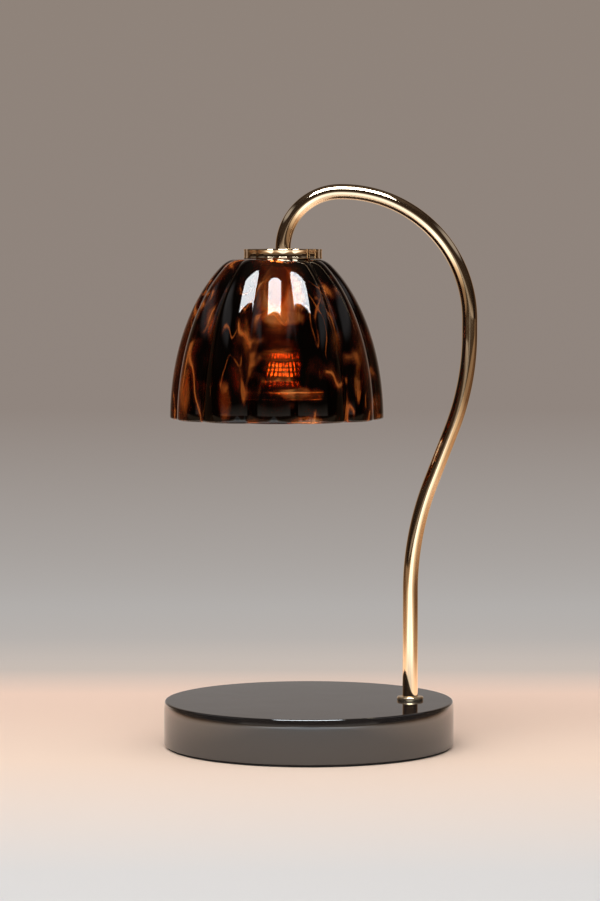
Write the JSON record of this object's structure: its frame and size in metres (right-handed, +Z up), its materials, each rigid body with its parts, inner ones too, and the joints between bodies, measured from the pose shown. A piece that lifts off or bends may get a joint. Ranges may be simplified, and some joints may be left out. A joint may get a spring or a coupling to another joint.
{
  "type": "candle warmer lamp",
  "caption": "Candle warmer lamp: a weighted disc base, a bent gold arm and a fluted tortoiseshell glass shade that hangs a reflector bulb over a candle.",
  "frame": {"origin": "centre of the foot pad's underside, where the lamp stands", "axes": "+Z up; +X from the base's centre towards the arm; -Y is the front, +Y the back where the cord enters"},
  "size_m": [0.1618, 0.1516, 0.2904],
  "materials": {
    "polished_black_stone": "polished to a deep gloss",
    "black_foam": "matt closed-cell foam",
    "black_rubber": "moulded, satin",
    "zinc_steel": "bright zinc plate",
    "insert_brass": "turned, unlacquered",
    "polished_gold": "mirror-polished pale gold plate",
    "white_nylon": "moulded",
    "brown_wire": "silicone insulation",
    "blue_wire": "silicone insulation",
    "clear_silicone": "translucent",
    "tortoiseshell_glass": "near-black brown with amber clouds, fire-polished",
    "white_ceramic": "unglazed steatite",
    "faceted_mirror": "aluminised facets",
    "clear_glass": "clear",
    "tungsten": "coiled wire"
  },
  "bodies": {
    "lamp": {"base_disc": "polished_black_stone", "foot_pad": "black_foam", "pocket_cover": "zinc_steel", "cover_screws": "zinc_steel", "block_screw": "zinc_steel", "cover_inserts": "insert_brass", "cord_grommet": "black_rubber", "foot_flange": "polished_gold", "arm_washer": "zinc_steel", "arm_lock_washer": "zinc_steel", "arm_nut": "zinc_steel", "arm_tube": "polished_gold", "terminal_block": "white_nylon", "terminal_sleeves": "insert_brass", "terminal_screws": "zinc_steel", "wire_live": "brown_wire", "wire_neutral": "blue_wire", "head_nipple": "polished_gold", "cap_plate": "polished_gold", "upper_washer": "clear_silicone", "lower_washer": "clear_silicone", "shade": "tortoiseshell_glass", "socket_cup": "polished_gold", "head_nut": "insert_brass", "holder_strap": "zinc_steel", "lampholder": "white_ceramic", "holder_contacts": "insert_brass", "holder_screws": "zinc_steel"},
    "bulb": {"bulb_base": "white_ceramic", "bulb_pins": "zinc_steel", "bulb_reflector": "faceted_mirror", "bulb_lens": "clear_glass", "bulb_capsule": "clear_glass", "bulb_filament": "tungsten"}
  },
  "joints": [
    {"name": "bulb_twist", "type": "hinge", "parent": "lamp", "child": "bulb", "pos_m": [-0.01332, 0, 0.22711], "axis": [0, 0, -1], "range_deg": [0, 20]}
  ]
}
